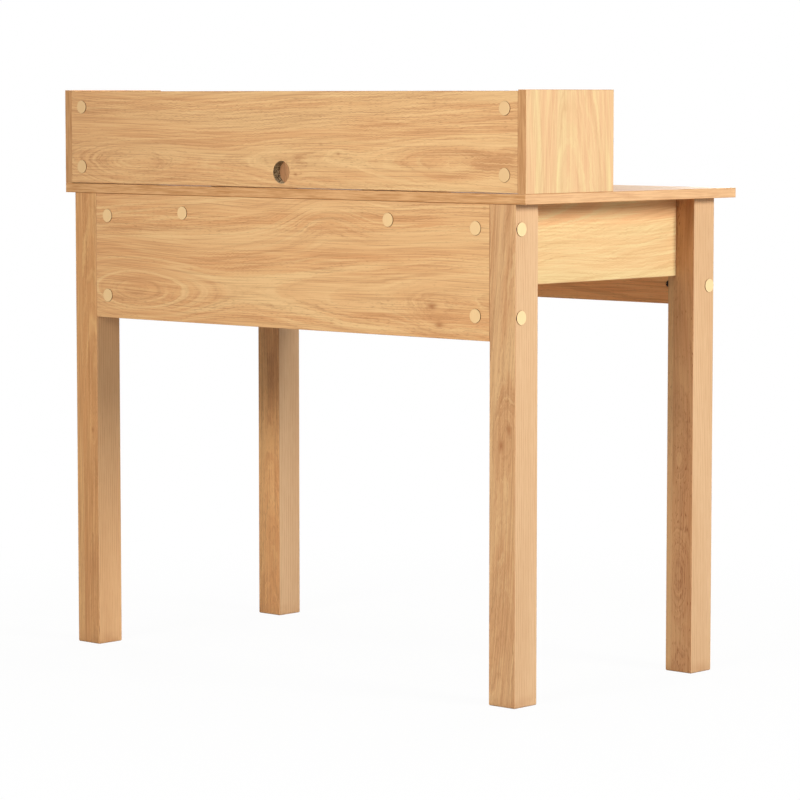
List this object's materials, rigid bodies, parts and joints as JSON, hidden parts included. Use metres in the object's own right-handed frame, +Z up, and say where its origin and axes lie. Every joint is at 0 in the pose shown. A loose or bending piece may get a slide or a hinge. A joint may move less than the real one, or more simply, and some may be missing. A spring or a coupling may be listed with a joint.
{
  "type": "writing desk",
  "caption": "Straight-legged oak-effect writing desk with inset drawers under the top and a low open hutch with a cable hole along its rear edge.",
  "frame": {"origin": "on the floor under the middle of the desktop", "axes": "+Z up, +Y to the rear where the hutch stands, +X to the right of a person sitting at the desk"},
  "size_m": [0.98, 0.5012, 0.9],
  "materials": {
    "oak_foil_board": "satin oak-print foil on chipboard",
    "oak_foil_leg": "satin oak-print foil, wrapped",
    "drawer_board": "satin oak-print foil",
    "turned_oak": "lacquered",
    "beech_dowel": "bare",
    "hardboard": "smooth one side",
    "cover_cap": "matte",
    "zinc_steel": "bright zinc",
    "cast_zinc": "as cast",
    "enamelled_steel": "satin enamel",
    "nylon": "matte"
  },
  "bodies": {
    "frame": {"barrel_nuts": "zinc_steel", "cabinet_rail_left_inner": "enamelled_steel", "cabinet_rail_left_outer": "enamelled_steel", "cabinet_rail_right_inner": "enamelled_steel", "cabinet_rail_right_outer": "enamelled_steel", "cam_bolts": "zinc_steel", "cam_locks": "cast_zinc", "cover_caps": "cover_cap", "desktop": "oak_foil_board", "drawer_divider": "oak_foil_board", "front_rail": "oak_foil_board", "hutch_back": "oak_foil_board", "hutch_divider_left": "oak_foil_board", "hutch_divider_right": "oak_foil_board", "hutch_screws": "zinc_steel", "hutch_shelf": "oak_foil_board", "hutch_side_left": "oak_foil_board", "hutch_side_right": "oak_foil_board", "leg_bolts": "zinc_steel", "leg_front_left": "oak_foil_leg", "leg_front_right": "oak_foil_leg", "leg_rear_left": "oak_foil_leg", "leg_rear_right": "oak_foil_leg", "rear_panel": "oak_foil_board", "side_apron_left": "oak_foil_board", "side_apron_right": "oak_foil_board", "slide_screws": "zinc_steel", "wood_dowels": "beech_dowel"},
    "drawer_left": {"drawer_left_back": "drawer_board", "drawer_left_bottom": "hardboard", "drawer_left_dowels": "beech_dowel", "drawer_left_front": "oak_foil_board", "drawer_left_knob": "turned_oak", "drawer_left_screws": "zinc_steel", "drawer_left_side_inner": "drawer_board", "drawer_left_side_outer": "drawer_board", "drawer_rail_left_inner": "enamelled_steel", "drawer_rail_left_outer": "enamelled_steel"},
    "drawer_right": {"drawer_rail_right_inner": "enamelled_steel", "drawer_rail_right_outer": "enamelled_steel", "drawer_right_back": "drawer_board", "drawer_right_bottom": "hardboard", "drawer_right_dowels": "beech_dowel", "drawer_right_front": "oak_foil_board", "drawer_right_knob": "turned_oak", "drawer_right_screws": "zinc_steel", "drawer_right_side_inner": "drawer_board", "drawer_right_side_outer": "drawer_board"},
    "front_roller_left_inner": {"front_roller_left_inner": "nylon"},
    "front_roller_left_outer": {"front_roller_left_outer": "nylon"},
    "front_roller_right_inner": {"front_roller_right_inner": "nylon"},
    "front_roller_right_outer": {"front_roller_right_outer": "nylon"},
    "rear_roller_left_inner": {"rear_roller_left_inner": "nylon"},
    "rear_roller_left_outer": {"rear_roller_left_outer": "nylon"},
    "rear_roller_right_inner": {"rear_roller_right_inner": "nylon"},
    "rear_roller_right_outer": {"rear_roller_right_outer": "nylon"}
  },
  "joints": [
    {"name": "drawer_left_slide", "type": "slide", "parent": "frame", "child": "drawer_left", "axis": [0, -1, 0], "range_m": [0, 0.3]},
    {"name": "drawer_right_slide", "type": "slide", "parent": "frame", "child": "drawer_right", "axis": [0, -1, 0], "range_m": [0, 0.3]},
    {"name": "front_roller_left_outer_spin", "type": "hinge", "parent": "frame", "child": "front_roller_left_outer", "pos_m": [-0.4155, -0.195, 0.6455], "axis": [1, 0, 0], "continuous": true},
    {"name": "rear_roller_left_outer_spin", "type": "hinge", "parent": "drawer_left", "child": "rear_roller_left_outer", "pos_m": [-0.4139, 0.183, 0.6455], "axis": [1, 0, 0], "continuous": true},
    {"name": "front_roller_left_inner_spin", "type": "hinge", "parent": "frame", "child": "front_roller_left_inner", "pos_m": [-0.012, -0.195, 0.6455], "axis": [1, 0, 0], "continuous": true},
    {"name": "rear_roller_left_inner_spin", "type": "hinge", "parent": "drawer_left", "child": "rear_roller_left_inner", "pos_m": [-0.0136, 0.183, 0.6455], "axis": [1, 0, 0], "continuous": true},
    {"name": "front_roller_right_outer_spin", "type": "hinge", "parent": "frame", "child": "front_roller_right_outer", "pos_m": [0.4155, -0.195, 0.6455], "axis": [1, 0, 0], "continuous": true},
    {"name": "rear_roller_right_outer_spin", "type": "hinge", "parent": "drawer_right", "child": "rear_roller_right_outer", "pos_m": [0.4139, 0.183, 0.6455], "axis": [1, 0, 0], "continuous": true},
    {"name": "front_roller_right_inner_spin", "type": "hinge", "parent": "frame", "child": "front_roller_right_inner", "pos_m": [0.012, -0.195, 0.6455], "axis": [1, 0, 0], "continuous": true},
    {"name": "rear_roller_right_inner_spin", "type": "hinge", "parent": "drawer_right", "child": "rear_roller_right_inner", "pos_m": [0.0136, 0.183, 0.6455], "axis": [1, 0, 0], "continuous": true}
  ],
  "couplings": [
    {"joint": "front_roller_left_outer_spin", "follows": "drawer_left_slide", "rad_per_m": 125},
    {"joint": "rear_roller_left_outer_spin", "follows": "drawer_left_slide", "rad_per_m": 125},
    {"joint": "front_roller_left_inner_spin", "follows": "drawer_left_slide", "rad_per_m": 125},
    {"joint": "rear_roller_left_inner_spin", "follows": "drawer_left_slide", "rad_per_m": 125},
    {"joint": "front_roller_right_outer_spin", "follows": "drawer_right_slide", "rad_per_m": 125},
    {"joint": "rear_roller_right_outer_spin", "follows": "drawer_right_slide", "rad_per_m": 125},
    {"joint": "front_roller_right_inner_spin", "follows": "drawer_right_slide", "rad_per_m": 125},
    {"joint": "rear_roller_right_inner_spin", "follows": "drawer_right_slide", "rad_per_m": 125}
  ]
}
